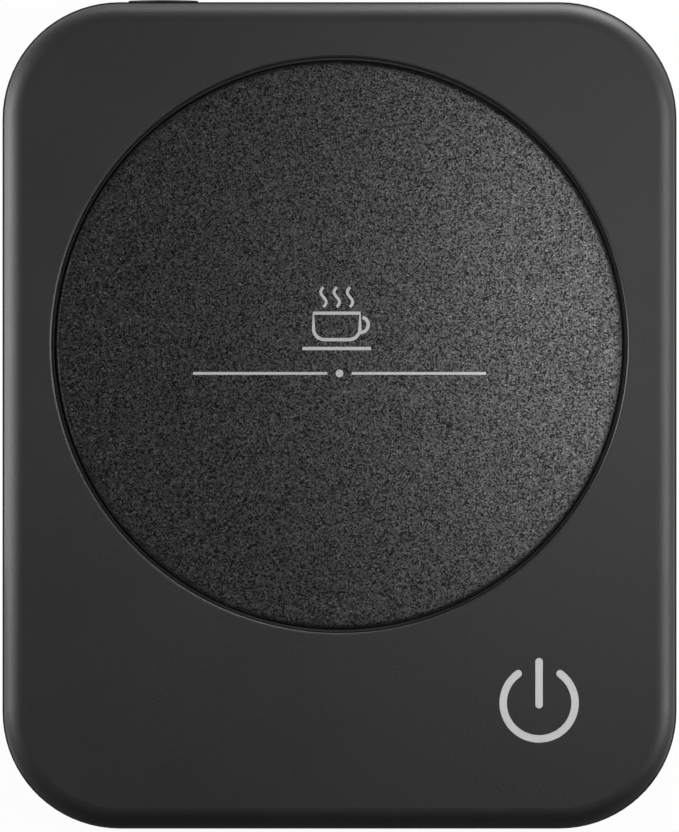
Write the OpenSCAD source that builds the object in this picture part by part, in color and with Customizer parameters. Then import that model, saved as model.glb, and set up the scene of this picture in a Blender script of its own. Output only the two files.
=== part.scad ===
// Electric mug warmer: a moulded two-part housing with a heating plate sunk into its deck,
// a touch key behind a lit power mark, and the electronics in front of the heater.
// Origin on the table under the middle of the housing, +X right, +Y to the rear, +Z up.

/* [Housing] */
// Width of the housing, left to right
body_w = 122.4; // [120:0.1:150]
// Depth of the housing, front to back
body_d = 150; // [147:1:180]
// Height of the deck above the table
body_h = 23; // [22.5:0.5:30]
// Corner radius of the housing, seen from above
corner_r = 21.4; // [17:0.1:25]
// Radius of the edge between deck and side wall
edge_r = 3.8; // [2:0.1:4.5]
// Radius of the edge between floor and side wall
base_edge_r = 1.5; // [0.6:0.1:2.5]
// Lean of the side walls, in degrees, that lets the mould open
draft = 1; // [0.2:0.1:2]
// Thickness of the side walls
wall = 2.2; // [1.9:0.1:3]
// Thickness of the deck
deck_t = 2.4; // [1.8:0.1:2.8]
// Thickness of the floor
floor_t = 2.2; // [2.1:0.1:3]
// Height of the line where the two covers meet
part_z = 9; // [8.5:0.1:10]
// Height of the shadow groove along that line
groove_h = 0.5; // [0.2:0.1:1]
// Depth of the shadow groove
groove_depth = 0.5; // [0.2:0.1:0.8]
// Thickness of the tongue that locates the covers
tongue_t = 1; // [0.6:0.1:1.2]
// Height of the tongue
tongue_h = 1.6; // [1:0.1:2.5]
// Thickness of the ribs and webs
rib_t = 1.4; // [1:0.1:2]
// Height of the ribs under the deck
rib_h = 2; // [1:0.1:2.4]

/* [Heating plate] */
// Diameter of the heating plate
plate_d = 102.9; // [98:0.1:104]
// Thickness of the heating plate
plate_t = 2.7; // [2:0.1:3]
// Radius of the plate's upper edge
plate_edge_r = 0.8; // [0.3:0.1:1.2]
// How far the plate lies below the deck
plate_sunk = 0.7; // [0:0.1:1.2]
// Distance of the plate's centre behind the middle of the housing
plate_y = 12.75; // [8:0.05:13]
// Gap round the plate, where the seal's lip shows
plate_gap = 0.6; // [0.5:0.1:1.2]
// Radius of the deck's edge at the opening
rim_r = 0.55; // [0.2:0.05:0.8]
// Thickness of the collar round the plate
collar_t = 2.2; // [1.6:0.1:2.6]
// Width of the ledge that carries the seal
ledge_w = 3.6; // [3:0.1:4]
// Thickness of the ledge
ledge_t = 1.6; // [1.2:0.1:2]
// Thickness of the seal under the plate
seal_t = 1; // [0.8:0.1:1.4]
// Height of the seal's lip above the plate's underside
lip_h = 2.2; // [0.5:0.1:2.4]

/* [Heater] */
// Thickness of each mica sheet
mica_t = 0.4; // [0.3:0.1:0.6]
// Thickness of the heater foil
foil_t = 0.3; // [0.1:0.1:0.4]
// Thickness of the clamp plate
clamp_t = 1.2; // [0.8:0.1:1.5]
// Thickness of the insulation pad
pad_t = 5.3; // [5:0.1:5.8]
// Sheet thickness of the retaining pan
pan_t = 0.8; // [0.5:0.1:1]
// Distance from one foil track to the next
foil_pitch = 3.4; // [3:0.1:3.8]
// Gap between neighbouring foil tracks
foil_gap = 1.1; // [0.6:0.1:1.5]
// Number of foil tracks on each side
foil_tracks = 9; // [5:2:9]
// Distance of the studs from the edge of the mica
stud_in = 4; // [3.6:0.1:4.2]
// Diameter of the studs
stud_d = 3; // [2.5:0.1:3]
// Height of the retaining nuts
nut_h = 2.4; // [2:0.1:2.6]
// Width of the retaining nuts across flats
nut_af = 5.5; // [5:0.1:6]
// Thickness of the washers
washer_t = 0.5; // [0.3:0.1:0.8]
// Diameter of the thermistor
thermistor_d = 4.4; // [3:0.1:5]
// Diameter of the thermal fuse
thermal_fuse_d = 3.8; // [3:0.1:3.9]
// Length of the thermal fuse
thermal_fuse_len = 11; // [8:0.5:13]
// Distance of the thermal fuse in front of the plate's centre
fuse_front = 27; // [20:0.5:28]
// Diameter of the heater and fuse leads
lead_d = 1.6; // [1:0.1:1.7]
// Diameter of the thermistor leads
thin_lead_d = 1; // [0.6:0.1:1.1]

/* [Power mark and key] */
// Distance of the power mark's centre from the right side
mark_in_x = 25.1; // [24:0.1:27]
// Distance of the power mark's centre from the front
mark_in_y = 23; // [22:0.1:24]
// Diameter of the power mark, over its stroke
mark_d = 14.4; // [12.6:0.1:15]
// Width of the power mark's stroke
mark_stroke = 1.39; // [1:0.01:1.8]
// Half angle of the break in the ring, in degrees
mark_break = 35.3; // [28:0.1:42]
// Height of the bar's top above the mark's centre
mark_bar_top = 8.15; // [7:0.05:8.5]
// Length of the bar
mark_bar_len = 9.15; // [8:0.05:9.4]
// Side of the square light guide
guide_w = 19; // [18:0.1:20]
// Thickness of the light guide under the deck
guide_t = 1.6; // [1:0.1:2]
// Height of the light box
light_box_h = 4.4; // [3.5:0.1:4.8]
// Wall of the light box
light_box_wall = 1.2; // [0.8:0.1:1.6]
// Width of the key board
key_board_w = 21; // [20.2:0.1:22]
// Length of the key board
key_board_len = 32; // [31:0.5:33]
// Thickness of the key board
key_board_t = 1.2; // [0.8:0.1:1.6]
// Distance of the key board's screws from the power mark
key_screw_y = 13; // [12.6:0.1:13.4]
// Diameter of the touch spring
spring_d = 3; // [2.4:0.1:3.2]
// Diameter of the touch spring's wire
spring_wire = 0.4; // [0.3:0.1:0.5]
// Turns of the touch spring
spring_turns = 5; // [3:1:7]

/* [Main board] */
// Width of the main board
board_w = 86; // [84:1:88]
// Depth of the main board
board_d = 26; // [25.5:0.1:26.5]
// Thickness of the main board
board_t = 1.6; // [1:0.1:1.6]
// Height of the posts that carry the main board
board_lift = 2.3; // [2:0.1:2.4]
// Distance of the board's front edge from the front of the housing
board_in_y = 5.5; // [5:0.1:6]
// Distance of the board's screws from its edges
board_screw_in = 3.2; // [3:0.1:3.5]
// Height of the mains terminal
terminal_h = 9; // [7:0.5:9]
// Diameter of the mains fuse
mains_fuse_d = 5.2; // [4:0.1:5.6]
// Length of the mains fuse
mains_fuse_len = 12; // [10:0.5:13]
// Diameter of the varistor
varistor_d = 9; // [7:0.1:9]
// Length of the film capacitor
film_cap_len = 13; // [10:0.5:13]
// Width of the film capacitor
film_cap_w = 6; // [4:0.5:6.5]
// Height of the film capacitor
film_cap_h = 9.6; // [8:0.1:9.8]
// Diameter of the electrolytic capacitor
elcap_d = 8; // [6.3:0.1:8.4]
// Height of the electrolytic capacitor
elcap_h = 9.6; // [8:0.1:9.8]
// Height of the heater tabs
tab_h = 6; // [5:0.5:7]
// Height of the lead sockets
socket_h = 4.5; // [4:0.1:5]

/* [Screws and feet] */
// Diameter of the housing screws
screw_d = 3; // [2.6:0.1:3.2]
// Length of the housing screws under the head
screw_len = 12; // [9:0.5:14]
// Diameter of the housing screws' heads
screw_head_d = 5.6; // [5:0.1:6]
// Height of the housing screws' heads
screw_head_h = 1.7; // [1.4:0.1:1.8]
// Depth of the wells that the heads sit in
screw_well = 1.9; // [1.85:0.05:2]
// Distance of the housing screws from the sides
screw_in_x = 8; // [7.6:0.1:8.4]
// Distance of the housing screws from front and rear
screw_in_y = 25; // [24.5:0.1:27]
// Outer diameter of the screw bosses
boss_d = 7; // [6:0.1:7.4]
// Diameter of the small screws
small_screw_d = 2.2; // [1.8:0.1:2.4]
// Diameter of the rubber feet
foot_d = 12; // [10:0.1:12.4]
// How far the rubber feet stand below the floor
foot_proud = 1.5; // [1:0.1:2]
// How deep the rubber feet sit in the floor
foot_sink = 0.8; // [0.4:0.1:1.2]
// Distance of the feet from the sides
foot_in_x = 17; // [16:0.1:19]
// Distance of the feet from front and rear
foot_in_y = 11; // [10.5:0.1:13]

/* [Cord entry and vents] */
// Distance of the cord entry left of the middle
cord_left = 32; // [26:0.5:33]
// Bore of the cord gland
cord_bore_d = 6.3; // [5:0.1:6.6]
// Diameter of the gland's outer flange
gland_flange_d = 12.6; // [11.8:0.1:13]
// Diameter of the gland's neck
gland_neck_d = 9.2; // [8.6:0.1:9.4]
// Length of the gland's sleeve inside the wall
gland_sleeve = 4; // [2:0.1:5]
// Distance of the cord clamp from the rear
clamp_in_y = 14; // [13:0.5:15]
// Number of vent slots in the floor
vent_count = 24; // [12:4:28]
// Width of a vent slot
vent_w = 2.4; // [1.6:0.1:2.6]
// Radius where the vent slots begin
vent_inner_r = 20; // [18:0.5:24]
// Radius where the vent slots end
vent_outer_r = 38; // [32:0.5:39]

/* [Hidden] */
$fn = 96;

// Clearances
slip = 0.1;         // between parts that are pushed together
loose = 0.2;        // round a screw or stud in its clearance hole
mark_slip = 0.03;   // round the light guide's power mark in the deck's slots
over = 1;           // how far a cutter runs past what it cuts

// Levels and places of the housing
base_z = foot_proud;
floor_top = base_z + floor_t;
under_deck = body_h - deck_t;
straight_x = body_w / 2 - corner_r;
straight_y = body_d / 2 - corner_r;
inner_edge_r = max(0.6, edge_r - wall);
screw_x = body_w / 2 - screw_in_x;
screw_y = body_d / 2 - screw_in_y;
screw_seat = base_z + screw_well;
foot_x = body_w / 2 - foot_in_x;
foot_y = body_d / 2 - foot_in_y;

// Plate and heater, from the deck down and from the opening inwards
plate_r = plate_d / 2;
opening_r = plate_r + plate_gap;
collar_r = opening_r + collar_t;
ledge_r = opening_r - ledge_w;
lip_t = plate_gap - slip - 0.15;
plate_top = body_h - plate_sunk;
plate_low = plate_top - plate_t;
ledge_top = plate_low - seal_t;
ledge_low = ledge_top - ledge_t;
upper_mica_low = plate_low - mica_t;
foil_low = upper_mica_low - foil_t;
lower_mica_low = foil_low - mica_t;
clamp_low = lower_mica_low - clamp_t;
pad_low = clamp_low - pad_t;
pan_low = pad_low - pan_t;
nut_low = pan_low - washer_t - nut_h;
stud_low = nut_low - 0.4;
spigot_w = 1.5;
spigot_r = ledge_r - 0.3;
mica_r = spigot_r - spigot_w - 0.7;
clamp_r = mica_r - 0.6;
pan_inner_r = mica_r + 0.4;
pan_flange_r = ledge_r + 2.6;
stud_ring_r = mica_r - stud_in;
stud_angles = [90, 210, 330];
foil_outer_r = stud_ring_r - 4.4;
foil_half_w = (foil_pitch - foil_gap) / 2;
slot_half = 1.6;
tail_w = 4;
tail_x = slot_half + tail_w / 2;
tail_y = -stud_ring_r + 1;
tail_hole_r = lead_d / 2 + 0.6;
sensor_hole_r = thermistor_d / 2 + 0.6;
bush_r = thermistor_d / 2 + 2.1;
bush_flange_r = bush_r + 1.8;
thermistor_low = pan_low + 0.4;
sensor_wire_z = pan_low - thin_lead_d / 2 - 0.5;
sleeve_r = thermal_fuse_d / 2 + 0.45;
sleeve_len = thermal_fuse_len + 5;
fuse_z = clamp_low - sleeve_r;
fuse_lead_x = sleeve_len / 2 + 2.4;

// Power mark and key
mark_x = body_w / 2 - mark_in_x;
mark_y = -body_d / 2 + mark_in_y;
mark_mid_r = (mark_d - mark_stroke) / 2;
guide_low = under_deck - guide_t;
key_board_top = guide_low - light_box_h;
key_board_low = key_board_top - key_board_t;
key_post_r = 2.6;
cable_socket_h = 3.2;
key_socket_y = mark_y + 7.6;
spring_y = -3.4;
led_ring_r = 6.4;

// Main board: parts stand in a rear row of terminals and a front row
board_low = floor_top + board_lift;
board_top = board_low + board_t;
board_front = -body_d / 2 + board_in_y;
board_rear = board_front + board_d;
board_screw_x = board_w / 2 - board_screw_in;
rear_row_y = board_rear - 4.5;
front_row_y = board_front + 8;
terminal_x = -31;
varistor_x = -20.6;
fuse_socket_x = -11.6;
heater_tab_x = [-4.6, 11];
thermistor_socket_x = 3.2;
rectifier_x = 20;
mains_fuse_x = -33;
film_cap_x = -18.5;
elcap_x = -6;
triac_x = 6.5;
chip_x = 20;
cable_socket_x = 31;
cable_socket_y = front_row_y + 1.5;
socket_d = 5;
wire_z = board_top + 1.8;
wire_end = 0.3;

// Small screws, cord entry and cord clamp
small_head_r = small_screw_d / 2 + 1;
small_head_h = 1.3;
small_post_r = small_screw_d / 2 + 1.5;
cord_x = -cord_left;
cord_z = part_z;
flange_t = 1.1;
gland_flange_t = 1.5;
flange_sink = 0.8;
inner_flange_r = cord_z - floor_top - slip;
clamp_screw_dx = 7.6;
clamp_bar_low = cord_z + cord_bore_d / 2 - 0.6;
clamp_bar_t = 2.4;
clamp_ear_t = 1.4;
clamp_screw_bite = 4;
clamp_bar_w = 6;
clamp_reach = clamp_screw_dx + clamp_bar_w / 2;
behind_pan = plate_y + sqrt(pow(pan_inner_r + pan_t + loose, 2) - pow(cord_left - clamp_reach, 2));
clamp_y = max(body_d / 2 - clamp_in_y, behind_pan + clamp_bar_w / 2);
gland_in = body_d / 2 - wall - loose - gland_flange_t;
sleeve_end = max(gland_in - gland_sleeve, clamp_y + clamp_bar_w / 2 + loose);

black_plastic = "#2b2b2c";
coated_plate = "#333335";
copper_colour = "#b87333";
steel_colour = "#b9bcc0";
mica_colour = "#c9b98a";
board_colour = "#1f5f3a";

// ---------- shared shapes ----------

// Quarter of a disc in the first quadrant.
module quarter_disc(r) {
    intersection() {
        circle(r = r);
        square(r);
    }
}

// Half of a disc on the side of +X.
module half_disc(r) {
    intersection() {
        circle(r = r);
        translate([0, -2 * r]) square([2 * r, 4 * r]);
    }
}

module ring_2d(outer_r, inner_r) {
    difference() {
        circle(r = outer_r);
        circle(r = inner_r);
    }
}

// Bar along X with round ends, len over all.
module round_bar(len, w) {
    square([len - w, w], center = true);
    for (turn = [0, 180])
        rotate(turn) translate([(len - w) / 2, 0]) half_disc(w / 2);
}

// Rectangle with rounded corners, centred.
module soft_rect(w, d, r) {
    square([w - 2 * r, d], center = true);
    for (turn = [0, 180])
        rotate(turn) {
            translate([w / 2 - r, -d / 2 + r]) square([r, d - 2 * r]);
            translate([w / 2 - r, d / 2 - r]) quarter_disc(r);
            translate([w / 2 - r, -d / 2 + r]) mirror([0, 1]) quarter_disc(r);
        }
}

// Sweeps a 2D wall profile round the plan of the housing. In the profile, x runs outwards from
// the centre of the corner radius and y is the height. Corners and straight runs meet face to face.
module round_the_plan() {
    for (q = [0:3])
        rotate(q * 90)
            translate(q % 2 == 0 ? [straight_x, straight_y, 0] : [straight_y, straight_x, 0])
                rotate_extrude(angle = 90) children();
    for (turn = [0, 180])
        rotate(turn) {
            translate([straight_x, straight_y, 0])
                rotate([90, 0, 0]) linear_extrude(2 * straight_y) children();
            translate([-straight_x, straight_y, 0])
                rotate([90, 0, 90]) linear_extrude(2 * straight_x) children();
        }
}

// Fills the middle of the plan between two heights.
module plan_middle(low, high) {
    translate([-straight_x, -straight_y, low])
        cube([2 * straight_x, 2 * straight_y, high - low]);
}

// Leaning wall with a rounded upper edge, as a filled profile.
module upper_profile(reach, low, high, edge) {
    lean = (high - edge - low) * tan(draft);
    polygon([[0, low], [reach, low], [reach - lean, high - edge], [0, high - edge]]);
    translate([0, high - edge]) square([reach - lean - edge, edge]);
    translate([reach - lean - edge, high - edge]) quarter_disc(edge);
}

// Leaning wall with a rounded lower edge, as a filled profile.
module lower_profile(reach, low, high, edge) {
    lean = (high - edge - low) * tan(draft);
    polygon([[0, low + edge], [reach - lean, low + edge], [reach, high], [0, high]]);
    translate([0, low]) square([reach - lean - edge, edge]);
    translate([reach - lean - edge, low + edge]) mirror([0, 1]) quarter_disc(edge);
}

module at_corners(x, y) {
    for (sx = [-1, 1], sy = [-1, 1])
        translate([sx * x, sy * y, 0]) children();
}

module at_plate() {
    translate([0, plate_y, 0]) children();
}

module at_mark() {
    translate([mark_x, mark_y, 0]) children();
}

module at_studs() {
    for (a = stud_angles)
        rotate(a) translate([stud_ring_r, 0]) children();
}

module at_tails() {
    for (side = [-1, 1])
        translate([side * tail_x, tail_y]) children();
}

module at_fuse_leads() {
    for (side = [-1, 1])
        translate([side * fuse_lead_x, -fuse_front]) children();
}

module at_board_screws() {
    for (x = [-board_screw_x, board_screw_x], y = [board_front + board_screw_in,
            board_rear - board_screw_in])
        translate([x, y, 0]) children();
}

module at_clamp_screws() {
    for (side = [-1, 1])
        translate([cord_x + side * clamp_screw_dx, clamp_y, 0]) children();
}

module at_key_screws() {
    at_mark() for (side = [-1, 1]) translate([0, side * key_screw_y, 0]) children();
}

// Round solid along Y on the cord's line, from one y to another.
module on_cord_line(r, from_y, to_y) {
    translate([cord_x, to_y, cord_z]) rotate([90, 0, 0]) cylinder(r = r, h = to_y - from_y);
}

// Round-headed screw with a cross recess: head above z = 0, shank below.
module screw(d, len, head_r, head_h) {
    crown = head_h / 2;
    translate([0, 0, -len]) cylinder(d = d, h = len);
    difference() {
        rotate_extrude() {
            square([head_r, head_h - crown]);
            translate([0, head_h - crown]) square([head_r - crown, crown]);
            translate([head_r - crown, head_h - crown]) quarter_disc(crown);
        }
        for (turn = [0, 90])
            rotate(turn) translate([-head_r * 0.6, -head_r * 0.12, head_h * 0.45])
                cube([head_r * 1.2, head_r * 0.24, head_h]);
    }
}

// Pin of a board part that bends outwards onto its pad: out from x = 0 at the given height.
module gull_leg(reach, height, w, t) {
    translate([0, -w / 2, height - t]) cube([reach / 2, w, t]);
    translate([reach / 2 - t, -w / 2, 0]) cube([t, w, height - t]);
    translate([reach / 2, -w / 2, 0]) cube([reach / 2, w, t]);
}

function unit(v) = v / norm(v);

// Smooth curve through hand-placed points.
function curve_point(p, i, t) =
    let (a = p[max(i - 1, 0)], b = p[i], c = p[i + 1], d = p[min(i + 2, len(p) - 1)])
    0.5 * (2 * b + (c - a) * t + (2 * a - 5 * b + 4 * c - d) * t * t
        + (3 * b - a - 3 * c + d) * t * t * t);

function curve(p, steps) =
    [for (i = [0:len(p) - 2], k = [0:steps - 1]) curve_point(p, i, k / steps), p[len(p) - 1]];

// Wire of oval section, across by high, along a path. It lies across side_on, a direction that
// the path never follows.
module wire(path, across, high, side_on) {
    sides = 8;
    last = len(path) - 1;
    skin_points = [
        for (i = [0:last])
            let (
                along = unit(path[min(i + 1, last)] - path[max(i - 1, 0)]),
                u = unit(side_on - (side_on * along) * along),
                v = cross(along, u)
            )
            for (s = [0:sides - 1])
                path[i] + across / 2 * cos(s * 360 / sides) * u
                    + high / 2 * sin(s * 360 / sides) * v
    ];
    skin = [
        for (i = [0:last - 1], s = [0:sides - 1])
            let (a = i * sides + s, b = i * sides + (s + 1) % sides)
            each [[a, a + sides, b], [b, a + sides, b + sides]]
    ];
    first_end = [for (s = [0:sides - 1]) s];
    last_end = [for (s = [sides - 1:-1:0]) last * sides + s];
    polyhedron(points = skin_points, faces = concat([first_end], skin, [last_end]));
}

// ---------- housing ----------

// Wall round the heating plate, with a rounded rim above and the seal's ledge below.
module plate_collar() {
    at_plate() rotate_extrude() {
        translate([ledge_r, ledge_low]) square([collar_r - ledge_r, ledge_t]);
        translate([opening_r, ledge_top]) square([collar_t, body_h - rim_r - ledge_top]);
        translate([opening_r + rim_r, body_h - rim_r]) {
            square([collar_t - rim_r, rim_r]);
            mirror([1, 0]) quarter_disc(rim_r);
        }
    }
}

// Ribs under the deck from the collar to the front wall.
module deck_ribs() {
    rib_start = -body_d / 2 + wall / 2;
    for (x = [-28, -12, 4]) {
        rib_end = plate_y - sqrt(pow(collar_r - collar_t / 2, 2) - x * x);
        translate([x - rib_t / 2, rib_start, under_deck - rib_h])
            cube([rib_t, rib_end - rib_start, rib_h]);
    }
}

// Web from each screw boss to the side wall.
module boss_webs() {
    web_low = part_z + tongue_h + 2;
    for (turn = [0, 180], y = [-screw_y, screw_y])
        rotate(turn) translate([screw_x, y - rib_t / 2, web_low])
            cube([screw_in_x - wall / 2, rib_t, under_deck - web_low]);
}

// Power mark: a broken ring with round ends, and an upright bar in the break. Its stroke is
// widened by grow on each side.
module power_mark(grow) {
    half = mark_stroke / 2 + grow;
    end_step = 0.02; // the ends are a hair narrower than the stroke, so they cross its cut cleanly
    bar_low = mark_bar_top - mark_bar_len + mark_stroke / 2;
    bar_high = mark_bar_top - mark_stroke / 2;
    break_x = mark_d * sin(mark_break);
    break_y = mark_d * cos(mark_break);
    difference() {
        ring_2d(mark_mid_r + half, mark_mid_r - half);
        polygon([[0, 0], [break_x, break_y], [-break_x, break_y]]);
    }
    for (side = [-1, 1])
        rotate(side * mark_break) translate([0, mark_mid_r]) circle(r = half - end_step);
    translate([0, (bar_low + bar_high) / 2])
        rotate(90) round_bar(bar_high - bar_low + 2 * half, 2 * half);
}

// Top cover: deck and leaning side wall in one moulding, with the plate's collar, screw bosses,
// ribs, key board posts, and the slots that the power mark fills.
module top_cover() {
    color(black_plastic) difference() {
        union() {
            difference() {
                union() {
                    round_the_plan() difference() {
                        upper_profile(corner_r, part_z, body_h, edge_r);
                        upper_profile(corner_r - wall, part_z, under_deck, inner_edge_r);
                        translate([0, part_z])
                            square([corner_r - wall + tongue_t + slip, tongue_h + slip]);
                    }
                    plan_middle(under_deck, body_h);
                }
                at_plate() translate([0, 0, under_deck - over])
                    cylinder(r = collar_r, h = deck_t + 2 * over);
            }
            plate_collar();
            deck_ribs();
            boss_webs();
            at_corners(screw_x, screw_y) translate([0, 0, part_z])
                cylinder(d = boss_d, h = under_deck - part_z);
            at_key_screws() translate([0, 0, key_board_top])
                cylinder(r = key_post_r, h = under_deck - key_board_top);
        }
        at_mark() translate([0, 0, under_deck - over])
            linear_extrude(deck_t + 2 * over) power_mark(0);
        at_corners(screw_x, screw_y) translate([0, 0, part_z - over])
            cylinder(d = screw_d + slip, h = screw_seat + screw_len - part_z + 2 * over);
        at_key_screws() translate([0, 0, key_board_top - over])
            cylinder(d = small_screw_d + slip, h = 5 + over);
        gland_cuts();
    }
}

// Foot recesses, screw wells and the wells' clearance holes, cut into the floor from below.
module floor_cuts() {
    at_corners(foot_x, foot_y) translate([0, 0, base_z - over])
        cylinder(d = foot_d + slip, h = foot_sink + over);
    at_corners(screw_x, screw_y) translate([0, 0, base_z - over]) {
        cylinder(d = screw_head_d + 2 * loose, h = screw_well + over);
        cylinder(d = screw_d + 2 * loose, h = part_z - base_z + 2 * over);
    }
}

// Ring of radial vent slots under the heater.
module vents() {
    at_plate() translate([0, 0, base_z - over]) linear_extrude(floor_t + 2 * over)
        for (k = [0:vent_count - 1])
            rotate((k + 0.5) * 360 / vent_count)
                translate([(vent_inner_r + vent_outer_r) / 2, 0])
                    round_bar(vent_outer_r - vent_inner_r, vent_w);
}

// Hole for the gland's neck and the shallow seat of its flange, shared by both covers.
module gland_cuts() {
    on_cord_line(gland_neck_d / 2 + slip / 2, body_d / 2 - wall - over, body_d / 2 + over);
    on_cord_line(gland_flange_d / 2 + slip, body_d / 2 - flange_sink, body_d / 2 + over);
}

// Bottom cover: floor and lower wall with the locating tongue, screw columns, posts for the
// main board, the saddle and posts of the cord clamp, and two ring ribs that stiffen the vents.
module bottom_cover() {
    color(black_plastic) difference() {
        union() {
            round_the_plan() {
                difference() {
                    lower_profile(corner_r, base_z, part_z, base_edge_r);
                    translate([0, floor_top]) square([corner_r - wall, part_z]);
                    translate([corner_r - groove_depth, part_z - groove_h])
                        square([groove_depth + over, groove_h + over]);
                }
                translate([corner_r - wall, part_z]) square([tongue_t, tongue_h]);
            }
            plan_middle(base_z, floor_top);
            at_corners(screw_x, screw_y) translate([0, 0, floor_top])
                cylinder(d = boss_d, h = part_z - floor_top);
            at_board_screws() translate([0, 0, floor_top])
                cylinder(r = small_post_r, h = board_lift);
            at_clamp_screws() translate([0, 0, floor_top])
                cylinder(r = small_post_r, h = clamp_bar_low - floor_top);
            translate([cord_x - clamp_screw_dx + 1, clamp_y - clamp_bar_w / 2, floor_top])
                cube([2 * clamp_screw_dx - 2, clamp_bar_w, cord_z - 1.5 - floor_top]);
            for (r = [vent_inner_r - 3, vent_outer_r + 3])
                at_plate() translate([0, 0, floor_top])
                    linear_extrude(1.2) ring_2d(r + rib_t / 2, r - rib_t / 2);
        }
        floor_cuts();
        vents();
        gland_cuts();
        on_cord_line(cord_bore_d / 2, clamp_y - clamp_bar_w, clamp_y + clamp_bar_w);
        at_board_screws() translate([0, 0, floor_top + 0.2])
            cylinder(d = small_screw_d + slip, h = board_lift + over);
        at_clamp_screws() translate([0, 0, clamp_bar_low - 5])
            cylinder(d = small_screw_d + slip, h = 5 + over);
    }
}

// Rubber foot: a disc with a rounded lower edge, glued into the floor.
module rubber_feet() {
    edge = 0.6;
    color("#1c1c1c") at_corners(foot_x, foot_y) rotate_extrude() {
        translate([0, edge]) square([foot_d / 2, foot_proud + foot_sink - edge]);
        square([foot_d / 2 - edge, edge]);
        translate([foot_d / 2 - edge, edge]) mirror([0, 1]) quarter_disc(edge);
    }
}

module housing_screws() {
    color(steel_colour) at_corners(screw_x, screw_y) translate([0, 0, screw_seat])
        rotate([180, 0, 0]) screw(screw_d, screw_len, screw_head_d / 2, screw_head_h);
}

// Cord gland: outer flange in its seat, neck in the wall, inner flange and sleeve behind it.
module cord_gland() {
    color("#1c1c1c") difference() {
        union() {
            on_cord_line(gland_flange_d / 2, body_d / 2 - flange_sink,
                body_d / 2 - flange_sink + flange_t);
            on_cord_line(gland_neck_d / 2, gland_in + gland_flange_t, body_d / 2 - flange_sink);
            on_cord_line(inner_flange_r, gland_in, gland_in + gland_flange_t);
            on_cord_line(cord_bore_d / 2 + 1.2, sleeve_end, gland_in);
        }
        on_cord_line(cord_bore_d / 2, sleeve_end - over, body_d / 2 + over);
    }
}

// Cord clamp: a bar across the cord's path, raised over the cord and grooved for it, with a
// lower ear at each end for a screw.
module cord_clamp() {
    color("#3a3a3a") difference() {
        translate([cord_x, clamp_y, clamp_bar_low]) {
            linear_extrude(clamp_ear_t) round_bar(2 * clamp_reach, clamp_bar_w);
            translate([-cord_bore_d / 2 - 1, -clamp_bar_w / 2, 0])
                cube([cord_bore_d + 2, clamp_bar_w, clamp_bar_t]);
        }
        on_cord_line(cord_bore_d / 2, clamp_y - clamp_bar_w, clamp_y + clamp_bar_w);
        at_clamp_screws() translate([0, 0, clamp_bar_low - over])
            cylinder(d = small_screw_d + 2 * loose, h = clamp_bar_t + 2 * over);
    }
}

module cord_clamp_screws() {
    color(steel_colour) at_clamp_screws() translate([0, 0, clamp_bar_low + clamp_ear_t])
        screw(small_screw_d, clamp_ear_t + clamp_screw_bite, small_head_r, small_head_h);
}

// ---------- heating plate and heater ----------

// Coated aluminium plate: disc with a rounded upper edge, a spigot that centres it in the ledge,
// and three studs that hold the heater and the pan.
module heating_plate() {
    color(coated_plate) at_plate() {
        rotate_extrude() {
            translate([0, plate_low]) square([plate_r, plate_t - plate_edge_r]);
            translate([0, plate_top - plate_edge_r])
                square([plate_r - plate_edge_r, plate_edge_r]);
            translate([plate_r - plate_edge_r, plate_top - plate_edge_r])
                quarter_disc(plate_edge_r);
            translate([spigot_r - spigot_w, ledge_top]) square([spigot_w, seal_t]);
        }
        at_studs() translate([0, 0, stud_low])
            cylinder(d = stud_d, h = plate_low - stud_low + plate_t / 2);
    }
}

// Silicone seal: flat ring under the plate with a lip in the gap round it.
module plate_seal() {
    seal_r = opening_r - slip;
    color("#141414") at_plate() rotate_extrude() {
        translate([ledge_r + 0.3, ledge_top]) square([seal_r - ledge_r - 0.3, seal_t]);
        translate([seal_r - lip_t, plate_low]) square([lip_t, lip_h]);
    }
}

// Disc of the heater stack, with the holes that all discs share.
module stack_disc(low, thick, r, centre_r) {
    at_plate() translate([0, 0, low]) linear_extrude(thick) difference() {
        circle(r = r);
        circle(r = centre_r);
        at_studs() circle(r = stud_d / 2 + loose);
        children();
    }
}

module mica_sheet_upper() {
    color(mica_colour) stack_disc(upper_mica_low, mica_t, mica_r, sensor_hole_r);
}

module mica_sheet_lower() {
    color(mica_colour) stack_disc(lower_mica_low, mica_t, mica_r, sensor_hole_r)
        at_tails() circle(r = tail_hole_r);
}

module clamp_plate() {
    color("#c4c6c8") stack_disc(clamp_low, clamp_t, clamp_r, sensor_hole_r)
        at_tails() circle(r = tail_hole_r);
}

// Insulation pad, with a pocket for the thermal fuse and its leads.
module insulation_pad() {
    color("#e8e4da") stack_disc(pad_low, pad_t, clamp_r, bush_flange_r + loose) {
        at_tails() circle(r = tail_hole_r);
        translate([0, -fuse_front])
            round_bar(2 * fuse_lead_x + 2 * sleeve_r + 2 * slip, 2 * sleeve_r + 2 * slip);
    }
}

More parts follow.
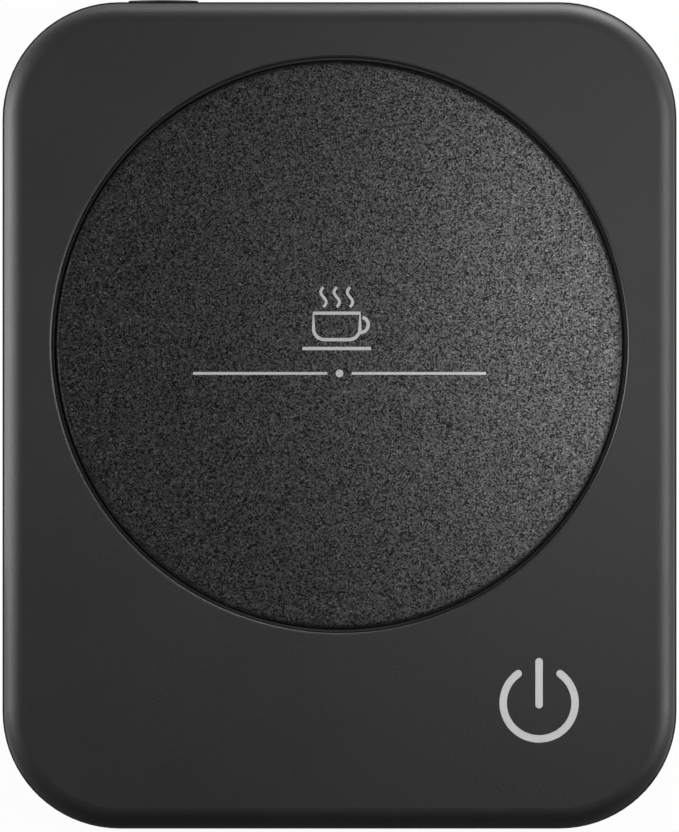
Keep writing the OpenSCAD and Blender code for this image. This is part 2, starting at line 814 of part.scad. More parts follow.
// Etched foil heater: a disc cut into tracks that run to and fro on each side, from one tail in
// front, round and inwards to the innermost track, and out again to the other tail.
module heater_foil() {
    link_half = slot_half + foil_pitch - foil_gap;
    inner_mid_r = foil_outer_r - (foil_tracks - 1) * foil_pitch;
    outer_edge = foil_outer_r + foil_half_w;
    color(copper_colour) at_plate() translate([0, 0, foil_low]) linear_extrude(foil_t)
        difference() {
            union() {
                ring_2d(outer_edge, inner_mid_r - foil_half_w);
                for (side = [-1, 1])
                    translate([side * tail_x - tail_w / 2, tail_y - tail_w / 2])
                        square([tail_w, tail_w / 2 - tail_y - foil_outer_r]);
            }
            for (i = [0:foil_tracks - 2]) {
                gap_outer = foil_outer_r - i * foil_pitch - foil_half_w;
                difference() {
                    ring_2d(gap_outer, gap_outer - foil_gap);
                    translate([-link_half, i % 2 == 0 ? 0 : -outer_edge])
                        square([2 * link_half, outer_edge]);
                }
            }
            translate([-slot_half, -outer_edge - over]) square([2 * slot_half, outer_edge + over]);
            translate([-slot_half, inner_mid_r + foil_half_w])
                square([2 * slot_half, outer_edge]);
        }
}

// Retaining pan: pressed sheet dish whose flange grips the collar's ledge from below.
module retaining_pan() {
    pan_r = pan_inner_r + pan_t;
    color("#a9abad") difference() {
        at_plate() rotate_extrude() {
            translate([0, pan_low]) square([pan_r, pan_t]);
            translate([pan_inner_r, pad_low]) square([pan_t, ledge_low - pad_low]);
            translate([pan_r, ledge_low - pan_t]) square([pan_flange_r - pan_r, pan_t]);
        }
        at_plate() translate([0, 0, pan_low - over]) linear_extrude(pan_t + 2 * over) {
            circle(r = bush_r + slip);
            at_studs() circle(r = stud_d / 2 + loose);
            at_tails() circle(r = tail_hole_r);
            at_fuse_leads() circle(r = tail_hole_r);
        }
    }
}

module pan_washers() {
    color(steel_colour) at_plate() at_studs() translate([0, 0, pan_low - washer_t])
        linear_extrude(washer_t) ring_2d(nut_af / 2 + 0.6, stud_d / 2 + loose);
}

module pan_nuts() {
    color(steel_colour) at_plate() at_studs() translate([0, 0, nut_low])
        difference() {
            cylinder(d = nut_af / cos(30), h = nut_h, $fn = 6);
            translate([0, 0, -over]) cylinder(d = stud_d + slip, h = nut_h + 2 * over);
        }
}

// Ceramic bush, held between clamp plate and pan, that guides the thermistor to the plate.
module sensor_bush() {
    color("#e9e6df") at_plate() difference() {
        union() {
            translate([0, 0, pan_low]) cylinder(r = bush_r, h = clamp_low - pan_low);
            translate([0, 0, pad_low]) cylinder(r = bush_flange_r, h = 1.2);
        }
        translate([0, 0, pan_low - over])
            cylinder(d = thermistor_d + slip, h = clamp_low - pan_low + 2 * over);
    }
}

module thermistor() {
    color("#3b3b3d") at_plate() translate([0, 0, thermistor_low])
        cylinder(d = thermistor_d, h = plate_low - thermistor_low);
}

module along_fuse(len) {
    translate([-len / 2, plate_y - fuse_front, fuse_z]) rotate([0, 90, 0])
        linear_extrude(len) children();
}

module thermal_fuse() {
    color("#d8d9db") along_fuse(thermal_fuse_len) circle(d = thermal_fuse_d);
}

module thermal_fuse_sleeve() {
    color("#f0eee6") along_fuse(sleeve_len) ring_2d(sleeve_r, thermal_fuse_d / 2 + slip / 2);
}

// ---------- leads ----------

module heater_leads() {
    start_y = plate_y + tail_y;
    tab_y = rear_row_y + 3 + wire_end;
    under_pan = pan_low - lead_d / 2 - 0.4;
    color("#d9d5c8") for (side = [0, 1])
        wire(curve([
            [(2 * side - 1) * tail_x, start_y, foil_low],
            [(2 * side - 1) * tail_x, start_y, pan_low + 2],
            [(2 * side - 1) * tail_x, start_y - 0.8, under_pan + 0.8],
            [(2 * side - 1) * tail_x, start_y - 3, under_pan],
            [(heater_tab_x[side] + (2 * side - 1) * tail_x) / 2, (start_y + tab_y) / 2, under_pan],
            [heater_tab_x[side], tab_y + 2.5, board_top + tab_h / 2],
            [heater_tab_x[side], tab_y, board_top + tab_h / 2]
        ], 4), lead_d, lead_d, [1, 0, 0]);
}

// Both fuse leads leave the sleeve's ends, drop through the pan and run to their socket. The
// right one crosses under the thermistor's leads, behind the heater's.
module thermal_fuse_leads() {
    y = plate_y - fuse_front;
    end_y = rear_row_y + socket_d / 2 + wire_end;
    bend = 1.5;
    run_in = 6;
    low = sensor_wire_z - (thin_lead_d + lead_d) / 2 - slip;
    inner_end = thermal_fuse_len / 2 + slip / 2;
    color("#d9d5c8") {
        wire(curve([
            [-inner_end, y, fuse_z],
            [-fuse_lead_x + bend, y, fuse_z],
            [-fuse_lead_x, y, fuse_z - bend],
            [-fuse_lead_x, y, pan_low],
            [-fuse_lead_x, y - bend, low + 0.4],
            [fuse_socket_x - 2.4, y - run_in, low],
            [fuse_socket_x - 1.6, end_y + 4, low],
            [fuse_socket_x - 1.6, end_y, wire_z]
        ], 4), lead_d, lead_d, [0.5, 0.8, 0.3]);
        wire(curve([
            [inner_end, y, fuse_z],
            [fuse_lead_x - bend, y, fuse_z],
            [fuse_lead_x, y, fuse_z - bend],
            [fuse_lead_x, y, pan_low],
            [fuse_lead_x - bend, y, low + 0.4],
            [0, y, low],
            [fuse_socket_x + 5.5, y - 3, low],
            [fuse_socket_x + 1.6, y - 10, low],
            [fuse_socket_x + 1.6, end_y + 4, low],
            [fuse_socket_x + 1.6, end_y, wire_z]
        ], 4), lead_d, lead_d, [-0.3, 0.8, 0.5]);
    }
}

module thermistor_leads() {
    end_y = rear_row_y + socket_d / 2 + wire_end;
    color("#26272b") for (side = [-1, 1])
        wire(curve([
            [side * 0.9, plate_y, thermistor_low],
            [side * 0.9, plate_y - 0.2, pan_low - 0.4],
            [side * 0.9, plate_y - 1.6, sensor_wire_z + 0.1],
            [side * 0.9, plate_y - 5, sensor_wire_z],
            [side * 0.9, plate_y + tail_y - 3, sensor_wire_z],
            [thermistor_socket_x + side * 1.25, end_y + 3.5, (sensor_wire_z + wire_z) / 2],
            [thermistor_socket_x + side * 1.25, end_y, wire_z]
        ], 4), thin_lead_d, thin_lead_d, [1, 0, 0]);
}

// ---------- key unit ----------

// Light guide: a clear square under the deck whose raised power mark fills the deck's slots
// flush, with a hole for the touch spring.
module light_guide() {
    color("#e6e6e6") at_mark() {
        translate([0, 0, guide_low]) linear_extrude(guide_t) difference() {
            soft_rect(guide_w, guide_w, 2);
            translate([0, spring_y]) circle(r = spring_d / 2 + 0.3);
        }
        translate([0, 0, under_deck]) linear_extrude(deck_t) power_mark(-mark_slip);
    }
}

// Light box: white frame that keeps the lamps' light under the power mark.
module light_box() {
    inner_w = guide_w - 2 * light_box_wall;
    color("#f4f4f2") at_mark() translate([0, 0, key_board_top]) linear_extrude(light_box_h)
        difference() {
            soft_rect(guide_w, guide_w, 2);
            soft_rect(inner_w, inner_w, 1);
        }
}

module key_board() {
    color(board_colour) difference() {
        at_mark() translate([0, 0, key_board_low]) linear_extrude(key_board_t)
            soft_rect(key_board_w, key_board_len, 1.5);
        at_key_screws() translate([0, 0, key_board_low - over])
            cylinder(d = small_screw_d + 2 * loose, h = key_board_t + 2 * over);
    }
}

module key_board_screws() {
    color(steel_colour) at_key_screws() translate([0, 0, key_board_low])
        rotate([180, 0, 0]) screw(small_screw_d, key_board_t + 4, small_head_r, small_head_h);
}

// Surface-mounted lamp: body with a domed lens.
module key_leds() {
    color("#f2efcf") at_mark() for (a = [60, 180, 300])
        rotate(a) translate([0, led_ring_r, key_board_top]) {
            linear_extrude(0.8) soft_rect(3.2, 1.6, 0.3);
            translate([0, 0, 0.8]) cylinder(d1 = 1.4, d2 = 0.9, h = 0.5);
        }
}

// Touch spring: coil from the key board to the underside of the deck.
module touch_spring() {
    steps = 10;
    coil_r = (spring_d - spring_wire) / 2;
    rise = under_deck - key_board_top - spring_wire;
    color(steel_colour) at_mark() translate([0, spring_y, key_board_top + spring_wire / 2])
        wire([for (k = [0:spring_turns * steps]) [
            coil_r * cos(k * 360 / steps),
            coil_r * sin(k * 360 / steps),
            rise * k / (spring_turns * steps)
        ]], spring_wire, spring_wire, [0, 0, 1]);
}

// Chip with gull-wing legs along both long sides, standing on z = 0.
module chip(len, w, h, legs, pitch) {
    lift = 0.1;
    leg_t = 0.2;
    translate([0, 0, lift]) linear_extrude(h - lift) soft_rect(len, w, 0.2);
    for (turn = [0, 180], k = [0:legs - 1])
        rotate(turn) translate([(k - (legs - 1) / 2) * pitch, w / 2, 0])
            rotate(90) gull_leg(1, h / 2, 0.4, leg_t);
}

module touch_chip() {
    color("#18181a") at_mark() translate([-6, 0, key_board_low])
        rotate([180, 0, 90]) chip(2.9, 1.6, 1.1, 3, 0.95);
}

// Flat cable between the two key cable sockets.
module key_cable() {
    from_y = key_socket_y - socket_d / 2 - wire_end;
    to_y = cable_socket_y + socket_d / 2 + wire_end;
    from_z = key_board_low - cable_socket_h / 2;
    color("#c9c9c6") wire(curve([
        [mark_x, from_y, from_z],
        [mark_x, from_y - 2.5, from_z],
        [(mark_x + cable_socket_x) / 2, (from_y + to_y) / 2, (from_z + wire_z) / 2],
        [cable_socket_x, to_y + 2.5, wire_z],
        [cable_socket_x, to_y, wire_z]
    ], 4), 5, 1, [1, 0, 0]);
}

// Open-topped wire socket: a shell round its cavity, standing on z = 0.
module socket(w, d, h) {
    difference() {
        translate([-w / 2, -d / 2, 0]) cube([w, d, h]);
        translate([-w / 2 + 0.8, -d / 2 + 0.8, h - 1.2]) cube([w - 1.6, d - 1.6, 1.2 + over]);
    }
}

module key_cable_sockets() {
    color("#efece2") {
        translate([cable_socket_x, cable_socket_y, board_top])
            socket(8, socket_d, cable_socket_h);
        translate([mark_x, key_socket_y, key_board_low]) rotate([180, 0, 0])
            socket(8, socket_d, cable_socket_h);
    }
}

// ---------- main board ----------

module main_board() {
    color(board_colour) difference() {
        translate([0, (board_front + board_rear) / 2, board_low]) linear_extrude(board_t)
            soft_rect(board_w, board_d, 1.5);
        at_board_screws() translate([0, 0, board_low - over])
            cylinder(d = small_screw_d + 2 * loose, h = board_t + 2 * over);
    }
}

module board_screws() {
    color(steel_colour) at_board_screws() translate([0, 0, board_top])
        screw(small_screw_d, board_t + board_lift - 0.4, small_head_r, small_head_h);
}

// Mains terminal: two screw chambers side by side, open to the rear for the cord's cores.
module mains_terminal() {
    pitch = 5;
    depth = 8;
    color("#2f6f46") translate([terminal_x, rear_row_y, board_top]) difference() {
        union() {
            translate([-pitch, -depth / 2, 0]) cube([2 * pitch, depth, terminal_h - 2]);
            translate([-pitch, -depth / 2 + 1.5, terminal_h - 2])
                cube([2 * pitch, depth - 3, 2]);
        }
        for (x = [-pitch / 2, pitch / 2]) {
            translate([x - 1.6, 0.5, 1.2]) cube([3.2, depth, 3.2]);
            translate([x, 0, terminal_h - 3]) cylinder(d = 3.4, h = 3 + over);
        }
    }
}

module terminal_screws() {
    color(steel_colour) for (x = [-2.5, 2.5])
        translate([terminal_x + x, rear_row_y, board_top + terminal_h - 3]) difference() {
            cylinder(d = 3.2, h = 1.6);
            translate([-2, -0.3, 0.9]) cube([4, 0.6, over]);
        }
}

// Mains fuse: ceramic tube with a metal cap at each end, held by two feet.
module mains_fuse() {
    cap = 2.4;
    r = mains_fuse_d / 2;
    color("#e3dccb") translate([mains_fuse_x, front_row_y + 1.5, board_top]) {
        translate([-mains_fuse_len / 2, 0, r + 0.5]) rotate([0, 90, 0]) {
            cylinder(r = r, h = cap);
            translate([0, 0, cap]) cylinder(r = r - 0.3, h = mains_fuse_len - 2 * cap);
            translate([0, 0, mains_fuse_len - cap]) cylinder(r = r, h = cap);
        }
        for (side = [-1, 1])
            translate([side * (mains_fuse_len / 2 - cap / 2) - 0.6, -r / 2, 0])
                cube([1.2, r, 1.4]);
    }
}

// Lacquered disc that stands on two wires.
module varistor() {
    color("#2b57a5") translate([varistor_x, rear_row_y - 1.5, board_top]) {
        translate([0, 1.8, varistor_d / 2 + 0.8]) rotate([90, 0, 0]) cylinder(d = varistor_d, h = 3.6);
        for (side = [-1, 1])
            translate([side * 2.5, side * 0.9, 0]) cylinder(d = 0.7, h = 2);
    }
}

// Film capacitor: box case with stepped feet under its two short ends.
module film_capacitor() {
    foot_len = 1.2;
    foot_h = 0.5;
    foot_in = 0.3;
    color("#d8b13a") translate([film_cap_x, front_row_y, board_top]) {
        translate([0, 0, foot_h]) linear_extrude(film_cap_h - foot_h)
            soft_rect(film_cap_len, film_cap_w, 0.6);
        for (side = [-1, 1])
            translate([side * ((film_cap_len - foot_len) / 2 - foot_in), 0, foot_h / 2])
                cube([foot_len, film_cap_w, foot_h], center = true);
    }
}

// Electrolytic capacitor: can with a crimp ring near the board and a rounded top.
module electrolytic_capacitor() {
    r = elcap_d / 2;
    color("#22252b") translate([elcap_x, front_row_y, board_top]) rotate_extrude() {
        square([r, 1.2]);
        translate([0, 1.2]) square([r - 0.4, 0.6]);
        translate([0, 1.8]) square([r, elcap_h - 2.4]);
        translate([0, elcap_h - 0.6]) square([r - 0.6, 0.6]);
        translate([r - 0.6, elcap_h - 0.6]) quarter_disc(0.6);
    }
}

module rectifier() {
    case_len = 8.2;
    case_w = 6.4;
    case_h = 2.6;
    leg_pitch = 5.1;
    color("#18181a") translate([rectifier_x, rear_row_y, board_top])
        chip(case_len, case_w, case_h, 2, leg_pitch);
}

// Triac lying flat: moulded body, metal tab with its hole, three legs.
module triac() {
    case_w = 10;
    case_len = 8;
    tab_len = 6;
    tab_t = 1.3;
    color("#202124") translate([triac_x, board_front + 1, board_top]) {
        difference() {
            translate([-case_w / 2, 0, 0]) cube([case_w, tab_len + case_len, tab_t]);
            translate([0, tab_len / 2, -over]) cylinder(d = 3.6, h = tab_t + 2 * over);
        }
        translate([-case_w / 2, tab_len, tab_t]) cube([case_w, case_len, 3.1]);
        for (x = [-2.54, 0, 2.54])
            translate([x, tab_len + case_len, 0]) rotate(90) gull_leg(3, 2, 0.9, 0.5);
    }
}

module controller_chip() {
    color("#18181a") translate([chip_x, front_row_y, board_top]) chip(10, 3.9, 1.6, 8, 1.27);
}

// Blade terminals for the heater's leads.
module heater_tabs() {
    tab_t = 0.8;
    tab_w = 6;
    hole_down = 2.2;
    color(steel_colour) for (x = heater_tab_x)
        translate([x, rear_row_y, board_top]) difference() {
            translate([-tab_t / 2, -tab_w / 2, 0]) cube([tab_t, tab_w, tab_h]);
            translate([-over, 0, tab_h - hole_down]) rotate([0, 90, 0])
                cylinder(d = 1.4, h = 2 * over);
        }
}

module lead_sockets() {
    color("#efece2") for (x = [fuse_socket_x, thermistor_socket_x])
        translate([x, rear_row_y, board_top]) socket(7, socket_d, socket_h);
}

top_cover();
bottom_cover();
heating_plate();
plate_seal();
light_guide();
rubber_feet();
housing_screws();
cord_gland();
cord_clamp();
cord_clamp_screws();
mica_sheet_upper();
heater_foil();
mica_sheet_lower();
clamp_plate();
insulation_pad();
retaining_pan();
pan_washers();
pan_nuts();
sensor_bush();
thermistor();
thermal_fuse();
thermal_fuse_sleeve();
heater_leads();
thermal_fuse_leads();
thermistor_leads();
light_box();
key_board();
key_leds();
touch_spring();
touch_chip();
key_board_screws();
key_cable();
key_cable_sockets();
main_board();
board_screws();
mains_terminal();
terminal_screws();
mains_fuse();
varistor();
film_capacitor();
electrolytic_capacitor();
rectifier();
triac();
controller_chip();
heater_tabs();
lead_sockets();
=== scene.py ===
import bpy
import bmesh
import math
from mathutils import Matrix, Vector


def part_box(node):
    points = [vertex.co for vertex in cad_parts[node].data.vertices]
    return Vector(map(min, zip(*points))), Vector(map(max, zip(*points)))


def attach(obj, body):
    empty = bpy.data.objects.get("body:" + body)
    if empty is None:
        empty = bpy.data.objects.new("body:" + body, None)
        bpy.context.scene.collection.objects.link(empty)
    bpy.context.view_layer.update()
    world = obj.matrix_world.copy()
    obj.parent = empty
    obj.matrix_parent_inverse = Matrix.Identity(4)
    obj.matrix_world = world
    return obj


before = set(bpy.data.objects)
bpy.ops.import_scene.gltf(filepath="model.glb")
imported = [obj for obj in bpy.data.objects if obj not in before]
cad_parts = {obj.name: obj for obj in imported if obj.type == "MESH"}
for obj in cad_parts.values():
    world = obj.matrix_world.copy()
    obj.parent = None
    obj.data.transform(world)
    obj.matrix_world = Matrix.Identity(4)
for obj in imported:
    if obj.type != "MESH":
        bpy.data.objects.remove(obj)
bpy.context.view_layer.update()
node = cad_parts


# ---- Camera ----
# A long lens straight above the housing, three metres up. Lens and sensor sizes are in
# millimetres, all others in metres. At the fitted level the frame takes in the view height,
# a hair more than the housing all round.

eye_distance = 3.0
fitted_level = 0.0197
view_height = 0.15062
view_middle_y = -0.00011
sensor_height = 24
camera = bpy.data.objects.new("camera", bpy.data.cameras.new("camera"))
camera.data.sensor_fit = "VERTICAL"
camera.data.sensor_height = sensor_height
camera.data.lens = sensor_height * eye_distance / view_height
camera.data.clip_start = 0.01
camera.location = (0, view_middle_y, fitted_level + eye_distance)
bpy.context.scene.collection.objects.link(camera)
bpy.context.scene.camera = camera
bpy.context.scene.view_settings.view_transform = "Standard"


# ---- Table ----
# A plain white table top that runs far past the object, with a matt surface that keeps the
# object's soft shadow. Close to the housing a painted shadow darkens it where the glossy walls
# mirror it.

table_reach = 3.0
table_gap = 0.00002
half_width = 0.0612
half_length = 0.075
corner_radius = 0.0214
# Painted shadow: the table's glow in mirrors is dark out to this distance from the wall.
painted_shadow_until = 0.018
white_from = 0.025


class Value:
    """The output of a shader node, which takes part in arithmetic as a number does."""

    def __init__(self, socket):
        self.socket = socket

    def maths(self, operation, left, right=0.0):
        tree = self.socket.id_data
        step = tree.nodes.new("ShaderNodeMath")
        step.operation = operation
        for place, term in enumerate((left, right)):
            if isinstance(term, Value):
                tree.links.new(term.socket, step.inputs[place])
            else:
                step.inputs[place].default_value = term
        return Value(step.outputs[0])

    def __add__(self, other):
        return self.maths("ADD", self, other)

    def __radd__(self, other):
        return self.maths("ADD", other, self)

    def __sub__(self, other):
        return self.maths("SUBTRACT", self, other)

    def __rsub__(self, other):
        return self.maths("SUBTRACT", other, self)

    def __mul__(self, other):
        return self.maths("MULTIPLY", self, other)

    def __rmul__(self, other):
        return self.maths("MULTIPLY", other, self)

    def __pow__(self, other):
        return self.maths("POWER", self, other)

    def __gt__(self, other):
        return self.maths("GREATER_THAN", self, other)

    def __lt__(self, other):
        return self.maths("LESS_THAN", self, other)

    def __abs__(self):
        return self.maths("ABSOLUTE", self)

    def either(self, other):
        return self.maths("MAXIMUM", self, other)

    def both(self, other):
        return self.maths("MINIMUM", self, other)


class Nodes:
    """A node tree, with one method that adds any node but the Math ones."""

    def __init__(self, owner):
        owner.use_nodes = True
        self.tree = owner.node_tree

    def add(self, kind, settings=None, inputs=None, out=0):
        """Adds a shader node: its settings first, then the values or links of its sockets."""
        made = self.tree.nodes.new("ShaderNode" + kind)
        for key, setting in (settings or {}).items():
            setattr(made, key, setting)
        self.feed(made, inputs or {})
        return Value(made.outputs[out])

    def feed(self, made, inputs):
        for key, term in inputs.items():
            if isinstance(term, Value):
                self.tree.links.new(term.socket, made.inputs[key])
            else:
                made.inputs[key].default_value = term

    def axis(self, letter, place=None):
        return self.add("SeparateXYZ", None, {0: place or self.place}, out=letter)


class Finish(Nodes):
    """A material in the making, on the object's own coordinates."""

    def __init__(self, name):
        self.material = bpy.data.materials.new(name)
        super().__init__(self.material)
        self.shader = self.tree.nodes["Principled BSDF"]
        self.place = self.add("TexCoord", out="Object")

    def noise(self, size, detail=2.0, place=None):
        """Soft noise whose features are about size across, in metres."""
        return self.add("TexNoise", None, {
            "Vector": place or self.place, "Scale": 1 / size, "Detail": detail, "Roughness": 0.6,
        })

    def ramp(self, value, low, high):
        """0 below low and 1 above high, smooth in between."""
        return self.add("MapRange", {"interpolation_type": "SMOOTHSTEP"},
                        {"Value": value, "From Min": low, "From Max": high})

    def blend(self, mask, first, second):
        """A colour that goes from the first to the second as the mask goes from 0 to 1."""
        shades = [term if isinstance(term, Value) else (*term, 1) for term in (first, second)]
        return self.add("Mix", {"data_type": "RGBA"}, {0: mask, 6: shades[0], 7: shades[1]}, out=2)

    def surface(self, colour, roughness, height=None, depth=0.0, metallic=0.0, **fixed):
        """Feeds the shader; height times depth, in metres, is the relief."""
        self.feed(self.shader, {
            "Base Color": colour, "Roughness": roughness, "Metallic": metallic,
        })
        self.feed(self.shader, {key.replace("_", " "): term for key, term in fixed.items()})
        if height is not None:
            relief = self.add("Bump", None, {"Height": height, "Strength": 1.0, "Distance": depth})
            self.feed(self.shader, {"Normal": relief})
        return self.material

    def overlay(self, mask, other):
        """Lays another shader over the surface where the mask is 1."""
        both = self.add("MixShader", None, {
            0: mask, 1: Value(self.shader.outputs[0]), 2: other,
        })
        self.feed(self.tree.nodes["Material Output"], {"Surface": both})
        return self.material


def put(shape, name, material):
    """Turns a bmesh into an object at the origin, and puts it in the scene."""
    mesh = bpy.data.meshes.new(name)
    shape.to_mesh(mesh)
    shape.free()
    mesh.materials.append(material)
    made = bpy.data.objects.new(name, mesh)
    bpy.context.scene.collection.objects.link(made)
    return made


def table_finish():
    """White paint, plain white to the camera and to mirrors but for a painted shadow near the
    wall.
    """
    finish = Finish("table_paint")
    speck = finish.noise(0.004, 4)
    finish.surface(finish.blend(speck, (0.86, 0.86, 0.86), (0.9, 0.9, 0.9)), 0.9)
    to_camera = finish.add("LightPath", out="Is Camera Ray")
    to_gloss = finish.add("LightPath", out="Is Glossy Ray")
    through = finish.add("LightPath", out="Is Transmission Ray")
    past_x, past_y = [
        (abs(finish.axis(letter)) - (half - corner_radius)).either(0.0)
        for letter, half in (("X", half_width), ("Y", half_length))
    ]
    from_wall = (past_x * past_x + past_y * past_y) ** 0.5 - corner_radius
    # Painted shadow: the glow seen in mirrors turns dark in a band round the housing's foot.
    painted_contact_shadow = to_gloss * (1 - finish.ramp(from_wall, painted_shadow_until, white_from))
    lamp = finish.add("Emission", None, {
        "Color": finish.blend(painted_contact_shadow, (1, 1, 1), (0, 0, 0)), "Strength": 1.0,
    })
    return finish.overlay((to_camera * 0.96).either(to_gloss).either(through * 0.9), lamp)


shape = bmesh.new()
bmesh.ops.create_grid(shape, x_segments=4, y_segments=4, size=table_reach,
                      matrix=Matrix.Translation((0, 0, -table_gap)))
table = put(shape, "table", table_finish())


# ---- Bottom cover ----
# Lower half of the housing, moulded in black flame-proof plastic with a spark-eroded grain.
# It carries the boards and the cord clamp, and four screws pull it against the top cover.

def coat(material, *names):
    """Gives the named nodes that material."""
    for name in names:
        piece = node[name]
        if not piece.material_slots:
            piece.data.materials.append(material)
        for place in piece.material_slots:
            place.material = material


def shades_of(colour, spread):
    """A darker and a lighter shade of a colour."""
    return [
        tuple(min(1.0, part * factor) for part in colour) for factor in (1 - spread, 1 + spread)
    ]


def moulded(name, colour, roughness, grain=0.0003, depth=0.00001, spread=0.12):
    """Moulded plastic: clouds of flow in the melt, and the grain of the mould."""
    finish = Finish(name)
    cloud = finish.noise(0.012, 3)
    grit = finish.noise(grain, 2)
    dark, light = shades_of(colour, spread)
    tint = finish.blend(cloud * 0.5 + grit * 0.5, dark, light)
    return finish.surface(tint, roughness + (cloud - 0.5) * 0.16 + (grit - 0.5) * 0.1,
                          grit, depth)


coat(moulded("black_grained_plastic", (0.017, 0.017, 0.0175), 0.52, 0.0005, 0.00004),
     "bottom_cover")


# ---- Rubber feet ----
# Four moulded rubber discs, glued into round recesses near the corners. They hold the warmer
# still on the table and keep the vents open.

def rubbered(name, colour, roughness=0.75):
    """Moulded rubber: dull, with a bloom of fine dust in the skin."""
    finish = Finish(name)
    bloom = finish.noise(0.002, 5)
    grit = finish.noise(0.0002, 2)
    dark, light = shades_of(colour, 0.3)
    tint = finish.blend(bloom, dark, light)
    return finish.surface(tint, roughness + (bloom - 0.5) * 0.2, grit, 0.00002,
                          Specular_IOR_Level=0.35)


coat(rubbered("black_rubber", (0.016, 0.016, 0.016)), "rubber_feet")


# ---- Cord gland and cord clamp ----
# The gland is a rubber sleeve pressed through the rear wall, which keeps the cord from
# chafing. Behind it a plastic bar, held by two screws, grips the cord.

coat(rubbered("gland_rubber", (0.014, 0.014, 0.014), 0.6), "cord_gland")
coat(moulded("clamp_nylon", (0.045, 0.045, 0.047), 0.45), "cord_clamp")


# ---- Main board ----
# Glass-epoxy board under green solder mask, on four posts of the bottom cover. It takes the
# mains in, and switches the heater with the triac.

def board_finish(name, mask_colour):
    """Solder mask over copper lanes, which show as a lighter green."""
    finish = Finish(name)
    across = finish.axis("X")
    along = finish.axis("Y")
    bend = finish.noise(0.009, 0) * 0.006
    lanes = finish.add("TexWave", {"wave_type": "BANDS", "bands_direction": "X"}, {
        "Vector": finish.add("CombineXYZ", None, {0: across + bend, 1: along * 0.2}),
        "Scale": 95,
    }, out="Fac")
    copper = finish.ramp(lanes, 0.55, 0.62) * (finish.noise(0.014, 1) > 0.47)
    weave = finish.add("TexChecker", None, {"Vector": finish.place, "Scale": 2400}, out="Fac")
    dark, light = shades_of(mask_colour, 0.28)
    tint = finish.blend(copper * 0.85 + weave * 0.08, dark, light)
    return finish.surface(tint, 0.32 - copper * 0.08 + weave * 0.05, copper, 0.00003)


coat(board_finish("green_board", (0.02, 0.13, 0.05)), "main_board")


# ---- Parts on the main board ----
# Terminal and fuse at the mains side, then varistor, capacitors, rectifier, triac and
# controller. Each is soldered; metal caps, tabs and legs show beside their plastic.

past = -0.001
tinned = (0.62, 0.62, 0.64)


def region(finish, low, high):
    """1 inside a box given by its lowest and highest corners, in metres, and 0 outside it."""
    inside = None
    for letter, bottom, top in zip("XYZ", low, high):
        level = finish.axis(letter)
        between = (level > bottom).both(level < top)
        inside = between if inside is None else inside.both(between)
    return inside


def cased(name, colour, low, high, roughness=0.4):
    """A plastic or ceramic case inside the box, with tinned metal wherever it shows past it."""
    finish = Finish(name)
    case = region(finish, low, high)
    cloud = finish.noise(0.002, 3)
    grit = finish.noise(0.0002, 2)
    dark, light = shades_of(colour, 0.15)
    tint = finish.blend(case, tinned, finish.blend(cloud, dark, light))
    return finish.surface(tint, 0.3 + case * (roughness - 0.3) + (grit - 0.5) * 0.12, grit,
                          0.000008, metallic=1 - case)


def shrunk(name, sides=(past, past, past, past), bottom=past, top=past):
    """The box of a node, less what its legs or caps take at each side, below and above. A side
    that is past the node by a little keeps the node's own face inside."""
    low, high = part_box(name)
    return ((low.x + sides[0], low.y + sides[2], low.z + bottom),
            (high.x - sides[1], high.y - sides[3], high.z - top))


fuse_cap = 0.0024
leg = 0.001
coat(moulded("green_nylon", (0.03, 0.16, 0.07), 0.4), "mains_terminal")
coat(cased("fuse_ceramic", (0.8, 0.76, 0.66),
           *shrunk("mains_fuse", (fuse_cap, fuse_cap, past, past), 0.0004), roughness=0.55),
     "mains_fuse")
coat(cased("varistor_lacquer", (0.03, 0.09, 0.38), *shrunk("varistor", bottom=0.0008),
           roughness=0.25), "varistor")
coat(moulded("capacitor_case", (0.68, 0.45, 0.04), 0.3, spread=0.08), "film_capacitor")
coat(cased("can_sleeve", (0.022, 0.024, 0.032), *shrunk("electrolytic_capacitor", top=0.0006),
           roughness=0.3), "electrolytic_capacitor")
coat(cased("rectifier_epoxy", (0.02, 0.02, 0.022),
           *shrunk("rectifier", (past, past, leg, leg))), "rectifier")
coat(cased("controller_epoxy", (0.018, 0.018, 0.02),
           *shrunk("controller_chip", (past, past, leg, leg))), "controller_chip")
coat(cased("triac_epoxy", (0.021, 0.021, 0.023),
           *shrunk("triac", (past, past, 0.006, 0.003), 0.0013)), "triac")


# ---- Heater tabs and lead sockets ----
# Tinned brass blades for the heater's leads, and natural nylon sockets for the thermal fuse,
# the thermistor and the key unit's cable.

def plated(name, colour, roughness, scratch=0.0015):
    """Plated or bare metal: fine drawing lines, faint stains and small rubs."""
    finish = Finish(name)
    stretched = finish.add("Mapping", None, {"Vector": finish.place, "Scale": (1, 14, 1)})
    lines = finish.noise(scratch, 5, stretched)
    stain = finish.noise(0.004, 3)
    dark, light = shades_of(colour, 0.1)
    tint = finish.blend(stain * 0.6 + lines * 0.4, dark, light)
    return finish.surface(tint, roughness + (lines - 0.5) * 0.25 + (stain - 0.5) * 0.1, lines,
                          0.00001, metallic=1.0)


coat(plated("tinned_brass", (0.66, 0.6, 0.46), 0.3), "heater_tabs")
coat(moulded("natural_nylon", (0.8, 0.77, 0.68), 0.42, spread=0.06), "lead_sockets",
     "key_cable_sockets")


# ---- Key unit ----
# A small board under the power mark: a touch spring pressed against the deck, three lamps in
# a white light box, and a chip on the underside. A flat cable runs to the main board.

coat(board_finish("key_board_mask", (0.018, 0.12, 0.046)), "key_board")
coat(moulded("reflector_white", (0.84, 0.84, 0.82), 0.35, spread=0.05), "light_box")
coat(cased("touch_chip_epoxy", (0.02, 0.02, 0.022),
           *shrunk("touch_chip", (leg, leg, past, past))), "touch_chip")
coat(plated("spring_steel", (0.58, 0.58, 0.6), 0.25), "touch_spring")
coat(moulded("cable_grey", (0.5, 0.5, 0.49), 0.5, spread=0.08), "key_cable")


lens_height = 0.0006


